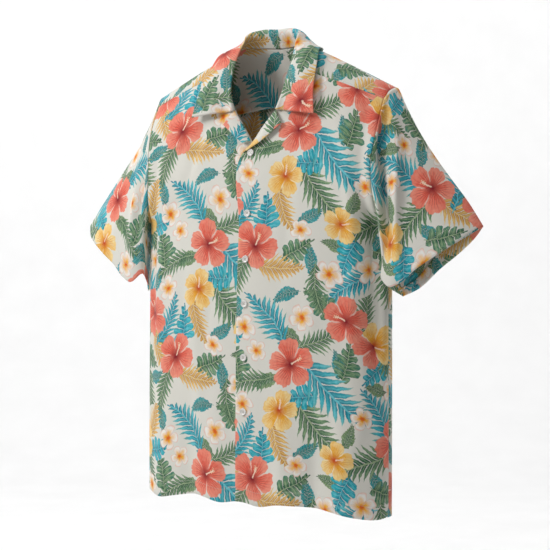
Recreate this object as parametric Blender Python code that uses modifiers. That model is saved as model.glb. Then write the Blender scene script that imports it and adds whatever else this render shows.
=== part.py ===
"""Short-sleeved aloha shirt with an open camp collar, in its worn shape with nobody inside.

Metres, +Z up, +X to the wearer's left, the front towards -Y. The origin is the nape, the
middle of the back neck seam, where the shirt hangs on its wearer.
Run: blender --background --python part.py
"""

import math

import bmesh
import bpy
import numpy as np

# Cloth and sewing
CLOTH = 0.0012            # wall of one panel
SEAM_GAP = 0.0003         # clear space left at each seam
EDGE_TRIM = SEAM_GAP / 2  # taken off each of two panels that meet in one plane
ARMHOLE_STEP = 0.0020     # how far the sleeve's edge stands out from the armhole it is sewn to
LAP = 0.014               # how far each front passes the middle line
LAP_STEP = 0.0011         # how far each front stands off the shared plane at the lap
LAP_MARGIN = 1.3          # a crease is allowed this many laps from the middle line
LAP_BLEND = 0.032         # width past the lap in which that step dies out

# Heights, below the nape
HEM_Z = -0.708
UNDERARM_Z = -0.285
BREAK_Z = -0.167          # where the fronts start to turn back as lapels

# Facets
COLUMNS = 12              # across one half of a panel
BODY_ROWS = 11
ARMHOLE_ROWS = 11
YOKE_BACK_ROWS = 4
YOKE_NECK_ROWS = 7
YOKE_ROWS = YOKE_BACK_ROWS + YOKE_NECK_ROWS + 1
SLEEVE_ROWS = 9
COLLAR_STATIONS = 16
COLLAR_POINTS = 12
LAPEL_ROWS = 7
LAPEL_COLUMNS = 4

BUTTON_RADIUS = 0.0056
BUTTON_THICKNESS = 0.0024
BUTTON_RIM = 0.0011
BUTTON_HOLE_RADIUS = 0.0008
BUTTON_HOLE_OFFSET = 0.0016
BUTTON_STAND = 0.0004     # thread left between a button and the cloth
BUTTON_HEIGHTS = (-0.168, -0.262, -0.333, -0.402, -0.485, -0.569)

# Hanging body: (height, half width, front, back, depth of the side seam)
BODY = (
    (-0.760, 0.2130, -0.1200, 0.030, -0.046),
    (-0.600, 0.2130, -0.1190, 0.032, -0.046),
    (-0.450, 0.2125, -0.1165, 0.035, -0.046),
    (-0.350, 0.2120, -0.1125, 0.037, -0.046),
    (-0.285, 0.2110, -0.1080, 0.038, -0.046),
)
BODY_SQUARENESS = 2.35

# Front edge from the break, up the roll line and the neck seam: (x, y, z)
FRONT_NECK = (
    (-0.0140, -0.0945, -0.1670),
    (0.0020, -0.0905, -0.1500),
    (0.0175, -0.0870, -0.1270),
    (0.0370, -0.0810, -0.1010),
    (0.0520, -0.0720, -0.0700),
    (0.0640, -0.0590, -0.0400),
)
NOTCH = 3                 # the point of that edge where the collar ends
# Back neck seam from the nape to the front yoke seam: (x, y, z)
BACK_NECK = (
    (0.0000, 0.0000, 0.0000),
    (0.0340, -0.0040, 0.0020),
    (0.0580, -0.0150, 0.0020),
    (0.0680, -0.0320, -0.0080),
    (0.0640, -0.0590, -0.0400),
)
# Middle line of the back below the yoke seam, and between that seam and the nape: (y, z)
BACK_MIDDLE = ((0.038, -0.285), (0.037, -0.180), (0.029, -0.088))
YOKE_MIDDLE = ((0.029, -0.088), (0.021, -0.055), (0.011, -0.024), (0.000, 0.000))

BLADE_BOW = 0.010         # fullness of the yoke over the shoulder blades

# How far a row turns towards the side, and how late it drops, at the underarm and both yoke seams
FRONT_TOP_SWEEP = math.radians(62)
BACK_TOP_SWEEP = math.radians(58)
LEVEL_FALL = 2.0
BACK_TOP_FALL = 1.5
RIDGE_FALL = 1.05
FRONT_TOP_FALL = 1.25

# Armhole from the underarm up the front: (x, y, z)
ARMHOLE_FRONT = (
    (0.2110, -0.0460, -0.2850),
    (0.2030, -0.0760, -0.2500),
    (0.1990, -0.0830, -0.1950),
    (0.2025, -0.0720, -0.1400),
    (0.2030, -0.0460, -0.0880),
)
# over the shoulder
ARMHOLE_TOP = (
    (0.2030, -0.0460, -0.0880),
    (0.2070, -0.0320, -0.0745),
    (0.2110, -0.0160, -0.0700),
    (0.2095, 0.0010, -0.0780),
    (0.2040, 0.0130, -0.0990),
    (0.2000, 0.0190, -0.1250),
)
# and down the back
ARMHOLE_BACK = (
    (0.2000, 0.0190, -0.1250),
    (0.1970, 0.0220, -0.1850),
    (0.2010, 0.0080, -0.2480),
    (0.2110, -0.0460, -0.2850),
)

# Sleeve opening from its lowest corner up the front to the outer top and down the back
CUFF = (
    (0.2310, -0.0340, -0.3880),
    (0.2170, -0.0600, -0.3720),
    (0.2140, -0.0800, -0.3580),
    (0.2330, -0.0860, -0.3720),
    (0.2500, -0.0820, -0.3650),
    (0.2700, -0.0770, -0.3460),
    (0.3000, -0.0690, -0.3250),
    (0.3310, -0.0540, -0.3030),
    (0.3570, -0.0220, -0.2820),
    (0.3350, -0.0020, -0.3000),
    (0.3040, 0.0110, -0.3230),
    (0.2720, 0.0130, -0.3470),
    (0.2450, 0.0010, -0.3750),
    (0.2310, -0.0340, -0.3880),
)
CUFF_TOP = 8
CAP_RISE = 0.006          # how far the sleeve's cap swells past a straight line
UNDERARM_FLARE = 0.004    # how far its underside swings clear of the body

# Collar from the middle of the back to its front end: seam, fold and outer edge, each (x, y, z)
COLLAR = (
    ((0.0000, 0.0000, 0.0000), (0.0000, -0.0120, 0.0300), (0.0000, 0.0190, -0.0160)),
    ((0.0340, -0.0040, 0.0020), (0.0280, -0.0150, 0.0300), (0.0480, 0.0150, -0.0150)),
    ((0.0580, -0.0150, 0.0020), (0.0410, -0.0240, 0.0250), (0.0770, -0.0020, -0.0050)),
    ((0.0680, -0.0320, -0.0080), (0.0480, -0.0420, 0.0010), (0.0880, -0.0340, -0.0050)),
    ((0.0640, -0.0590, -0.0400), (0.0500, -0.0610, -0.0340), (0.0970, -0.0640, -0.0400)),
    ((0.0520, -0.0720, -0.0700), (0.0460, -0.0785, -0.0690), (0.1030, -0.0850, -0.0750)),
    ((0.0370, -0.0810, -0.1010), (0.0380, -0.0890, -0.1010), (0.1090, -0.0950, -0.1100)),
)
FOLD_RADIUS = 0.0026
COLLAR_LIFT = 0.0016      # the collar's seam edge stands this far above the body's neck edge
STAND_BOW = 0.0012
FALL_BOW = 0.0040

# Outer edge of a lapel from its foot to its corner: (x, y, z)
LAPEL_EDGE = ((-0.0060, -0.0990, -0.1640), (0.0150, -0.0980, -0.1520), (0.0520, -0.0930, -0.1230))
LAPEL_FORWARD = 0.0022    # how far the turned lapel starts in front of the front's own edge
LAPEL_BOW = 0.0020
UNDER_LAPEL_FOOT = 0.30   # share of the roll line that the front on top hides

# Soft flutes in the hanging cloth: (distance from the middle line, depth, half width, top)
FRONT_FLUTES = (
    (-0.165, 0.0040, 0.022, -0.42),
    (-0.105, -0.0060, 0.020, -0.45),
    (-0.055, 0.0050, 0.018, -0.48),
    (0.072, 0.0060, 0.022, -0.42),
    (0.118, -0.0070, 0.018, -0.38),
    (0.165, 0.0060, 0.020, -0.44),
)
BACK_FLUTES = (
    (-0.155, 0.0060, 0.024, -0.40),
    (-0.098, -0.0060, 0.020, -0.33),
    (-0.030, 0.0070, 0.026, -0.28),
    (0.040, -0.0060, 0.021, -0.38),
    (0.092, 0.0065, 0.022, -0.30),
    (0.150, -0.0050, 0.020, -0.44),
)
# How much lower the hem hangs: (distance from the middle line, drop, half width)
FRONT_DIPS = (
    (-0.170, 0.007, 0.030),
    (-0.095, -0.004, 0.025),
    (-0.040, 0.004, 0.018),
    (0.028, 0.006, 0.022),
    (0.215, 0.019, 0.070),
)
BACK_DIPS = ((0.235, 0.018, 0.080), (0.000, 0.006, 0.060))

PRINT_GROUND = (0.80, 0.76, 0.69, 1.0)
SHELL_WHITE = (0.86, 0.84, 0.78, 1.0)


def clear_scene():
    for item in list(bpy.data.objects):
        bpy.data.objects.remove(item, do_unlink=True)


def collection(name):
    made = bpy.data.collections.new(name)
    bpy.context.scene.collection.children.link(made)
    return made


def material(name, colour, roughness):
    made = bpy.data.materials.new(name)
    made.use_nodes = True
    shader = made.node_tree.nodes["Principled BSDF"]
    shader.inputs["Base Color"].default_value = colour
    shader.inputs["Roughness"].default_value = roughness
    shader.inputs["Metallic"].default_value = 0.0
    return made


def smooth_between(keys, values, at):
    """Values at the places 'at', on a smooth curve through (keys, values)."""
    keys = np.asarray(keys, float)
    values = np.asarray(values, float)
    slopes = np.gradient(values, keys, axis=0)
    at = np.clip(np.asarray(at, float), keys[0], keys[-1])
    span = np.clip(np.searchsorted(keys, at) - 1, 0, len(keys) - 2)
    width = keys[span + 1] - keys[span]
    t = (at - keys[span]) / width
    shape = (-1,) + (1,) * (values.ndim - 1)
    t, width = t.reshape(shape), width.reshape(shape)
    return (
        values[span] * (2 * t**3 - 3 * t**2 + 1)
        + values[span + 1] * (3 * t**2 - 2 * t**3)
        + slopes[span] * width * (t**3 - 2 * t**2 + t)
        + slopes[span + 1] * width * (t**3 - t**2)
    )


def along(points, steps):
    """Evenly spaced points on a smooth curve through the given ones."""
    points = np.asarray(points, float)
    chords = np.linalg.norm(np.diff(points, axis=0), axis=1)
    keys = np.concatenate([[0], np.cumsum(chords)])
    fine = smooth_between(keys, points, np.linspace(0, keys[-1], 400))
    lengths = np.concatenate([[0], np.cumsum(np.linalg.norm(np.diff(fine, axis=0), axis=1))])
    places = np.linspace(0, lengths[-1], steps)
    return np.stack([np.interp(places, lengths, fine[:, k]) for k in range(3)], axis=1)


def ease(share):
    share = np.clip(share, 0, 1)
    return share * share * (3 - 2 * share)


def body_size(height):
    """(half width, front, back, depth of the side seam) of the hanging body at a height."""
    table = np.array(BODY)
    return smooth_between(table[:, 0], table[:, 1:], np.atleast_1d(height))[0]


def arc(start, end, sweep, fall=1.0):
    """A row of cloth that leaves the middle flat and turns towards the side, from start to end.

    A higher fall keeps the row level for longer before it drops to its end.
    """
    angle = np.linspace(0, sweep, COLUMNS)
    power = 2 / BODY_SQUARENESS
    across = np.sin(angle) ** power
    deep = 1 - np.cos(angle) ** power
    across /= across[-1]
    deep /= deep[-1]
    start, end = np.asarray(start), np.asarray(end)
    share = np.stack([across, deep, across**fall], axis=1)
    return start + (end - start) * share


def split_first(row):
    """The row with two more points in its first step."""
    extra = row[:1] + np.outer((1 / 3, 2 / 3), row[1] - row[0])
    return np.concatenate([row[:1], extra, row[1:]])


def normals(grid):
    """Unit normals of a grid of points, rows first, towards down-the-rows x along-the-row."""
    down = np.gradient(grid, axis=0)
    right = np.gradient(grid, axis=1)
    found = np.cross(right, down)
    return found / np.maximum(np.linalg.norm(found, axis=2, keepdims=True), 1e-9)


def from_middle(grid):
    """Signed distance along each row from the point nearest the middle plane."""
    steps = np.linalg.norm(np.diff(grid, axis=1), axis=2)
    lengths = np.concatenate([np.zeros((len(grid), 1)), np.cumsum(steps, axis=1)], axis=1)
    middle = np.abs(grid[:, :, 0]).argmin(axis=1)
    offset = np.take_along_axis(lengths, middle[:, None], axis=1)
    start = np.take_along_axis(grid[:, :, 0], middle[:, None], axis=1)
    direction = np.sign(grid[:, -1:, 0] - grid[:, :1, 0])
    return (lengths - offset) * direction + start


def fluted(grid, flutes, dips, outward):
    """The grid with soft vertical flutes that deepen towards the hem."""
    place = from_middle(grid)
    height = grid[:, :, 2]
    depth = np.zeros_like(place)
    for centre, size, half_width, top in flutes:
        ramp = ease((top - height) / (top - HEM_Z))
        depth += size * np.exp(-(((place - centre) / half_width) ** 2)) * ramp
    drop = np.zeros_like(place)
    for centre, size, half_width in dips:
        ramp = ease((UNDERARM_Z - height) / (UNDERARM_Z - HEM_Z))
        drop += size * np.exp(-(((place - centre) / half_width) ** 2)) * ramp
    moved = grid + normals(grid) * (depth * outward)[:, :, None]
    moved[:, :, 2] -= drop
    return moved


def trimmed(grid, first_row=0.0, last_row=0.0, first_column=0.0, last_column=0.0):
    """The grid with its edges drawn in by these lengths."""
    grid = grid.copy()
    edges = (
        (first_row, (0, slice(None)), (1, slice(None))),
        (last_row, (-1, slice(None)), (-2, slice(None))),
        (first_column, (slice(None), 0), (slice(None), 1)),
        (last_column, (slice(None), -1), (slice(None), -2)),
    )
    for length, edge, inside in edges:
        if length:
            way = grid[inside] - grid[edge]
            grid[edge] += way * length / np.linalg.norm(way, axis=-1, keepdims=True)
    return grid


def front_half():
    """One front from its middle edge to the side seam and armhole, hem row first."""
    rows = []
    for height in np.linspace(HEM_Z, UNDERARM_Z, BODY_ROWS, endpoint=False):
        half_width, front, _, side = body_size(height)
        rows.append(lapped(arc((0, front, height), (half_width, side, height), math.pi / 2)))
    armhole = along(ARMHOLE_FRONT, ARMHOLE_ROWS)
    front = body_size(UNDERARM_Z)[1]
    inner = along([(-LAP, front, UNDERARM_Z), *FRONT_NECK], ARMHOLE_ROWS)
    sweeps = np.linspace(math.pi / 2, FRONT_TOP_SWEEP, ARMHOLE_ROWS)
    falls = np.linspace(LEVEL_FALL, FRONT_TOP_FALL, ARMHOLE_ROWS)
    for start, end, sweep, fall in zip(inner, armhole, sweeps, falls):
        if start[0] < 0:
            middle = (0, start[1], start[2])
            rows.append(lapped(arc(middle, end, sweep, fall), start[0]))
        else:
            rows.append(split_first(arc(start, end, sweep, fall)))
    return np.array(rows)


def lapped(row, edge=-LAP):
    """A row that starts at the middle, with its lap put in front and a point where the other ends."""
    lap = row[:1].copy()
    lap[0, 0] = edge
    past = row[:1] + (row[1:2] - row[:1]) * LAP_MARGIN * LAP / row[1, 0]
    return np.concatenate([lap, row[:1], past, row[1:]])


def lap_stepped(grid, way):
    """The fronts' laps, moved apart: way is -1 for the front on top and 1 for the one under it."""
    grid = grid.copy()
    near = ease((LAP + LAP_BLEND - np.abs(grid[:, :, 0])) / LAP_BLEND)
    below_break = ease((BREAK_Z + 0.06 - grid[:, :, 2]) / 0.06)
    grid[:, :, 1] += way * LAP_STEP * near * below_break
    return grid


def front_grid(side):
    """The front for side 1, the wearer's left and on top, or -1, the wearer's right."""
    grid = lap_stepped(front_half(), -side)
    grid[:, :, 0] *= side
    return fluted(grid, FRONT_FLUTES, FRONT_DIPS, side)


def back_half():
    """Half of the back from its middle to the side seam and armhole, hem row first."""
    rows = []
    for height in np.linspace(HEM_Z, UNDERARM_Z, BODY_ROWS, endpoint=False):
        half_width, _, back, side = body_size(height)
        rows.append(arc((0, back, height), (half_width, side, height), math.pi / 2))
    armhole = along(ARMHOLE_BACK, ARMHOLE_ROWS)[::-1]
    middle = along([(0, y, z) for y, z in BACK_MIDDLE], ARMHOLE_ROWS)
    sweeps = np.linspace(math.pi / 2, BACK_TOP_SWEEP, ARMHOLE_ROWS)
    falls = np.linspace(LEVEL_FALL, BACK_TOP_FALL, ARMHOLE_ROWS)
    for row in zip(middle, armhole, sweeps, falls):
        rows.append(arc(*row))
    return np.array(rows)


def back_grid():
    """The back from the wearer's right side to the left, hem row first."""
    return fluted(both_halves(back_half()), BACK_FLUTES, BACK_DIPS, -1)


def both_halves(half):
    """A half that starts on the middle plane, with its mirror image before it."""
    mirrored = half[:, :0:-1].copy()
    mirrored[:, :, 0] *= -1
    return np.concatenate([mirrored, half], axis=1)


def yoke_half():
    """The yoke over one shoulder, from the back seam to the front seam, neck to armhole."""
    middle = along([(0, y, z) for y, z in YOKE_MIDDLE], YOKE_BACK_ROWS + 1)
    neck = along(BACK_NECK, YOKE_NECK_ROWS + 1)
    inner = np.concatenate([middle, neck[1:]])
    outer = along(ARMHOLE_TOP[::-1], YOKE_ROWS)
    keys = (0, 0.5, 1)
    shares = np.linspace(0, 1, YOKE_ROWS)
    sweeps = smooth_between(keys, (BACK_TOP_SWEEP, BACK_TOP_SWEEP, FRONT_TOP_SWEEP), shares)
    falls = smooth_between(keys, (BACK_TOP_FALL, RIDGE_FALL, FRONT_TOP_FALL), shares)
    rows = []
    for start, end, sweep, fall, share in zip(inner, outer, sweeps, falls, shares):
        row = split_first(arc(start, end, sweep, fall))
        across = (row[:, 0] - start[0]) / (end[0] - start[0])
        row[:, 1] += BLADE_BOW * np.sin(math.pi * across) * math.sin(math.pi * min(1, share * 1.6))
        rows.append(row)
    return np.array(rows)


def armhole_loop():
    """The whole armhole as one ring of points, from the underarm up the front."""
    parts = (ARMHOLE_FRONT, ARMHOLE_ROWS), (ARMHOLE_TOP, YOKE_ROWS), (ARMHOLE_BACK, ARMHOLE_ROWS)
    return np.concatenate([along(points, rows)[:-1] for points, rows in parts])


def sleeve_grid(side):
    """The sleeve from the armhole to its hem, rings of points from the underarm up the front."""
    hole = armhole_loop() + (ARMHOLE_STEP, 0, 0)
    top = hole[:, 2].argmax()
    cuff = np.concatenate(
        [along(CUFF[: CUFF_TOP + 1], top + 1)[:-1], along(CUFF[CUFF_TOP:], len(hole) - top + 1)[:-1]]
    )
    down = cuff[top] - hole[top]
    swell = np.cross(down / np.linalg.norm(down), (0, -1, 0))
    height = (hole[:, 2] - UNDERARM_Z) / (hole[top, 2] - UNDERARM_Z)
    rings = []
    for t in np.linspace(0, 1, SLEEVE_ROWS):
        bump = 6.75 * t * (1 - t) ** 2
        cap = np.outer(ease(height), swell) * CAP_RISE * bump
        under = np.outer(ease(1 - height), (1, 0, 0)) * UNDERARM_FLARE * bump
        rings.append(hole + (cuff - hole) * t + cap + under)
    grid = np.array(rings)
    grid[:, :, 0] *= side
    return grid


def collar_half():
    """The collar from the middle of the back to its front end: seam, over the fold, to the edge."""
    table = np.array(COLLAR)
    seam, fold, edge = (along(table[:, k], COLLAR_STATIONS) for k in range(3))
    rows = []
    for index in range(COLLAR_STATIONS):
        n, f, e = seam[index], fold[index], edge[index]
        out = e - f
        out /= np.linalg.norm(out)
        rise = f - n
        height = np.linalg.norm(rise)
        up = rise / height
        turn = min(FOLD_RADIUS, height * 0.45)
        outside = np.cross(np.cross(up, out), up)
        outside /= np.linalg.norm(outside)
        start = n + up * COLLAR_LIFT
        inner_turn = f - up * turn
        outer_turn = f - up * turn * 0.8 + outside * turn * 2
        stand = (start + inner_turn) / 2 - outside * STAND_BOW * height / 0.03
        bow = np.cross(out, np.cross(up, out))
        fall = (outer_turn + e) / 2 + bow / np.linalg.norm(bow) * FALL_BOW
        line = np.array([start, stand, inner_turn, f + outside * turn, outer_turn, fall, e])
        rows.append(along(line, COLLAR_POINTS))
    return np.array(rows)


def lapel_grid(side):
    """A lapel, turned back over the front: the roll line across to its outer edge, foot first."""
    roll = along(FRONT_NECK[: NOTCH + 1], LAPEL_ROWS * 3)
    edge = along(LAPEL_EDGE, LAPEL_ROWS * 3)
    foot = 0 if side > 0 else round(UNDER_LAPEL_FOOT * len(roll))
    picked = np.linspace(foot, len(roll) - 1, LAPEL_ROWS).round().astype(int)
    across = np.linspace(0, 1, LAPEL_COLUMNS)
    rows = []
    for start, end in zip(roll[picked], edge[picked]):
        start = start - (0, LAPEL_FORWARD, 0)
        row = start + np.outer(across, end - start)
        row[:, 1] -= LAPEL_BOW * np.sin(math.pi * across)
        rows.append(row)
    grid = np.array(rows)
    grid[:, :, 0] *= side
    return grid


def sheet_object(name, grid, look, home, ring=False, flip=False):
    """A named object: the grid as an open surface, given its wall by a Solidify modifier."""
    rows, columns = grid.shape[:2]
    work = bmesh.new()
    points = [[work.verts.new(p) for p in row] for row in grid]
    for r in range(rows - 1):
        for c in range(columns if ring else columns - 1):
            after = (c + 1) % columns
            corners = [points[r][c], points[r][after], points[r + 1][after], points[r + 1][c]]
            work.faces.new(corners[::-1] if flip else corners)
    mesh = bpy.data.meshes.new(name)
    work.to_mesh(mesh)
    work.free()
    mesh.shade_smooth()
    made = bpy.data.objects.new(name, mesh)
    made.data.materials.append(look)
    home.objects.link(made)
    wall = made.modifiers.new("cloth wall", "SOLIDIFY")
    wall.thickness = CLOTH
    wall.offset = 0
    return made


def cutter(name, radius, place, home):
    bpy.ops.mesh.primitive_cylinder_add(
        vertices=8, radius=radius, depth=4 * BUTTON_THICKNESS, location=place
    )
    made = bpy.context.active_object
    made.name = name
    made.hide_render = True
    made.display_type = "WIRE"
    for holder in list(made.users_collection):
        holder.objects.unlink(made)
    home.objects.link(made)
    return made


def button_mesh(home, cutters):
    """A four-hole button, turned about Z, face up, its back at Z = 0."""
    radius, thick, rim = BUTTON_RADIUS, BUTTON_THICKNESS, BUTTON_RIM
    profile = (
        (0.0, thick * 0.62),
        (radius - rim * 1.7, thick * 0.62),
        (radius - rim, thick),
        (radius - rim * 0.35, thick * 0.9),
        (radius, thick * 0.55),
        (radius - rim * 0.8, 0.0),
        (0.0, 0.0),
    )
    mesh = bpy.data.meshes.new("button profile")
    edges = [(i, i + 1) for i in range(len(profile) - 1)]
    mesh.from_pydata([(x, 0, z) for x, z in profile], edges, [])
    made = bpy.data.objects.new("button blank", mesh)
    home.objects.link(made)
    turn = made.modifiers.new("turned", "SCREW")
    turn.steps = turn.render_steps = 20
    turn.use_merge_vertices = True
    turn.merge_threshold = 0.0001
    for index in range(4):
        angle = math.radians(45 + 90 * index)
        x = BUTTON_HOLE_OFFSET * math.cos(angle)
        y = BUTTON_HOLE_OFFSET * math.sin(angle)
        hole = made.modifiers.new(f"thread hole {index + 1}", "BOOLEAN")
        hole.operation = "DIFFERENCE"
        hole.object = cutter(f"hole cutter {index + 1}", BUTTON_HOLE_RADIUS, (x, y, 0), cutters)
    bpy.context.view_layer.update()
    graph = bpy.context.evaluated_depsgraph_get()
    finished = bpy.data.meshes.new_from_object(made.evaluated_get(graph))
    finished.name = "button"
    bpy.data.objects.remove(made)
    return finished


def front_at(grid, height):
    """(point, outward tilt about X) of a front's middle line at a height."""
    middle = np.abs(grid[0, :, 0]).argmin()
    line = grid[:, middle]
    line = line[line[:, 2] < BREAK_Z + 0.02]
    y = float(np.interp(height, line[:, 2], line[:, 1]))
    above = float(np.interp(height + 0.01, line[:, 2], line[:, 1]))
    below = float(np.interp(height - 0.01, line[:, 2], line[:, 1]))
    return y, math.atan2(above - below, 0.02)


def build():
    clear_scene()
    shirt = collection("aloha shirt")
    cutters = collection("cutters")
    print_cloth = material("printed cotton", PRINT_GROUND, 0.82)
    shell = material("shell button", SHELL_WHITE, 0.32)

    left = front_grid(1)
    right = front_grid(-1)
    seams = {"last_row": EDGE_TRIM, "last_column": EDGE_TRIM}
    above = slice(BODY_ROWS, None)
    for name, grid, flip in (("front_left", left, False), ("front_right", right, True)):
        trimmed_grid = trimmed(grid, **seams)
        trimmed_grid[above] = trimmed(grid, last_row=EDGE_TRIM, last_column=SEAM_GAP)[above]
        sheet_object(name, trimmed_grid, print_cloth, shirt, flip=flip)

    back = back_grid()
    cut = trimmed(back, last_row=EDGE_TRIM, first_column=EDGE_TRIM, last_column=EDGE_TRIM)
    cut[above] = trimmed(
        back, last_row=EDGE_TRIM, first_column=SEAM_GAP, last_column=SEAM_GAP
    )[above]
    sheet_object("back", cut, print_cloth, shirt, flip=True)

    yoke_object(print_cloth, shirt)

    for name, side in (("sleeve_left", 1), ("sleeve_right", -1)):
        sheet_object(name, sleeve_grid(side), print_cloth, shirt, ring=True, flip=side < 0)

    half = collar_half()
    collar = np.swapaxes(both_halves(np.swapaxes(half, 0, 1)), 0, 1)
    sheet_object("collar", collar, print_cloth, shirt)

    for name, side in (("lapel_left", 1), ("lapel_right", -1)):
        sheet_object(name, lapel_grid(side), print_cloth, shirt, flip=side < 0)

    mesh = button_mesh(shirt, cutters)
    for number, height in enumerate(BUTTON_HEIGHTS, 1):
        y, tilt = front_at(left, height)
        button = bpy.data.objects.new(f"button_{number}", mesh)
        button.data.materials.clear()
        button.data.materials.append(shell)
        button.location = (0, y - CLOTH / 2 - BUTTON_STAND, height)
        button.rotation_euler = (math.pi / 2 - tilt, 0, 0)
        shirt.objects.link(button)


def yoke_object(look, home):
    """The yoke as one piece: its two halves share only the middle of the back."""
    half = trimmed(yoke_half(), first_row=EDGE_TRIM, last_row=EDGE_TRIM, last_column=SEAM_GAP)
    made = sheet_object("yoke", half, look, home, flip=True)
    mirror = made.modifiers.new("other shoulder", "MIRROR")
    mirror.merge_threshold = 0.0001
    made.modifiers.move(made.modifiers.find("other shoulder"), 0)
    return made


build()
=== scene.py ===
import math

import bmesh
import bpy
import numpy as np
from mathutils import Matrix, Vector


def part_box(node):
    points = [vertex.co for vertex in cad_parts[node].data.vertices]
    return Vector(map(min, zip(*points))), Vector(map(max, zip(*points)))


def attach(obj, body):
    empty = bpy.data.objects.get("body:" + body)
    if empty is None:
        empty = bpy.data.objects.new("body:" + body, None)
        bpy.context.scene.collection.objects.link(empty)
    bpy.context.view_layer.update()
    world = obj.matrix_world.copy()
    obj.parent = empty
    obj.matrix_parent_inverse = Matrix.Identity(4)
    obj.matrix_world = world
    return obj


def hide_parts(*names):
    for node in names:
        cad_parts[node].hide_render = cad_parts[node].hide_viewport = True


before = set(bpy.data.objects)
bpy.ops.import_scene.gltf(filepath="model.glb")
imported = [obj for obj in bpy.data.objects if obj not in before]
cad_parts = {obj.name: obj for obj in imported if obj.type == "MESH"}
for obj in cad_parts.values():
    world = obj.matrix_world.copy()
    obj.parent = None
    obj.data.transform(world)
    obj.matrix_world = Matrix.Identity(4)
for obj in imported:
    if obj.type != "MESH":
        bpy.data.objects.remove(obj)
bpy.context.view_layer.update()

cloth = {
    "wall": 0.0008,
    "seamGap": 0.00015,      # taken off each of two edges that meet
    "seamTurn": 0.0028,      # seam edge turned to the inside
    "facingTurn": 0.0012,    # the front edge, turned back as its facing
    "turnSteps": (0.25, 1.0),
    "hemGap": 0.0015,        # from the outside of a hem to the layer folded up behind it
    "hemSag": 0.0006,
    "hemRows": 3,
    "squareness": 2.35,      # of the body's outline from above: 2 is an ellipse
    "firstAngles": 1.3,      # crowds the points of an outline towards its middle
    "seamHold": 0.022,       # how far a seam keeps creases out
    "seamFlat": 0.002,       # right beside a seam there is no crease at all
    "lap": 0.014,
    "lapStep": 0.0011,
    "lapBlend": 0.032,
    "breakBlend": 0.06,
    "hemZ": -0.708,
    "underarmZ": -0.285,
    "breakZ": -0.167,
}

# Hanging body: height, half width, front, back, depth of the side seam
bodyTable = (
    (-0.76, 0.213, -0.12, 0.03, -0.046),
    (-0.6, 0.213, -0.119, 0.032, -0.046),
    (-0.45, 0.2125, -0.1165, 0.035, -0.046),
    (-0.35, 0.212, -0.1125, 0.037, -0.046),
    (-0.285, 0.211, -0.108, 0.038, -0.046),
)
frontNeck = (
    (-0.014, -0.0945, -0.167),
    (0.002, -0.0905, -0.15),
    (0.0175, -0.087, -0.127),
    (0.037, -0.081, -0.101),
    (0.052, -0.072, -0.07),
    (0.064, -0.059, -0.04),
)
notch = 3                                # the row of frontNeck where collar and lapel meet
backNeck = (
    (0.0, 0.0, 0.0),
    (0.034, -0.004, 0.002),
    (0.058, -0.015, 0.002),
    (0.068, -0.032, -0.008),
    (0.064, -0.059, -0.04),
)
backMiddle = ((0.038, -0.285), (0.037, -0.18), (0.029, -0.088))
yokeMiddle = ((0.029, -0.088), (0.021, -0.055), (0.011, -0.024), (0.0, 0.0))
armholeFront = (
    (0.211, -0.046, -0.285),
    (0.203, -0.076, -0.25),
    (0.199, -0.083, -0.195),
    (0.2025, -0.072, -0.14),
    (0.203, -0.046, -0.088),
)
armholeTop = (
    (0.203, -0.046, -0.088),
    (0.207, -0.032, -0.0745),
    (0.211, -0.016, -0.07),
    (0.2095, 0.001, -0.078),
    (0.204, 0.013, -0.099),
    (0.2, 0.019, -0.125),
)
armholeBack = (
    (0.2, 0.019, -0.125),
    (0.197, 0.022, -0.185),
    (0.201, 0.008, -0.248),
    (0.211, -0.046, -0.285),
)
armholeCentre = (-0.032, -0.175)
frontTopSweep, backTopSweep = math.radians(62), math.radians(58)
levelFall, backTopFall, ridgeFall, frontTopFall = 2.0, 1.5, 1.05, 1.25


def smoothBetween(keys, values, at):
    keys = np.asarray(keys, float)
    values = np.asarray(values, float)
    slopes = np.gradient(values, keys, axis=0)
    at = np.clip(np.asarray(at, float), keys[0], keys[-1])
    span = np.clip(np.searchsorted(keys, at) - 1, 0, len(keys) - 2)
    width = keys[span + 1] - keys[span]
    t = (at - keys[span]) / width
    shape = (-1,) + (1,) * (values.ndim - 1)
    t, width = t.reshape(shape), width.reshape(shape)
    return (
        values[span] * (2 * t**3 - 3 * t**2 + 1)
        + values[span + 1] * (3 * t**2 - 2 * t**3)
        + slopes[span] * width * (t**3 - 2 * t**2 + t)
        + slopes[span + 1] * width * (t**3 - t**2)
    )


def lengthsAlong(line):
    return np.insert(np.cumsum(np.linalg.norm(np.diff(line, axis=0), axis=1)), 0, 0)


def lengthsOver(grid, axis):
    # lengths from the first point, up each column (axis 0) or along each row (axis 1)
    steps = np.linalg.norm(np.diff(grid, axis=axis), axis=2)
    return np.insert(np.cumsum(steps, axis=axis), 0, 0, axis=axis)


def unit(vectors):
    return vectors / np.linalg.norm(vectors, axis=-1, keepdims=True)


def cells(grid):
    # the four corners of every cell of a grid
    return np.stack([grid[:-1, :-1], grid[:-1, 1:], grid[1:, 1:], grid[1:, :-1]], axis=2)


def placed(name, data):
    made = bpy.data.objects.new(name, data)
    bpy.context.scene.collection.objects.link(made)
    return made


def resampled(line, steps):
    lengths = lengthsAlong(line)
    places = np.linspace(0, lengths[-1], steps)
    return np.stack([np.interp(places, lengths, line[:, k]) for k in range(line.shape[1])], axis=1)


def along(points, steps):
    points = np.asarray(points, float)
    keys = lengthsAlong(points)
    return resampled(smoothBetween(keys, points, np.linspace(0, keys[-1], 400)), steps)


def ease(share):
    share = np.clip(share, 0, 1)
    return share * share * (3 - 2 * share)


def bodySize(height):
    # half width, front, back and side of the body at one height
    table = np.array(bodyTable)
    return smoothBetween(table[:, 0], table[:, 1:], np.atleast_1d(height))[0]


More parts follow.
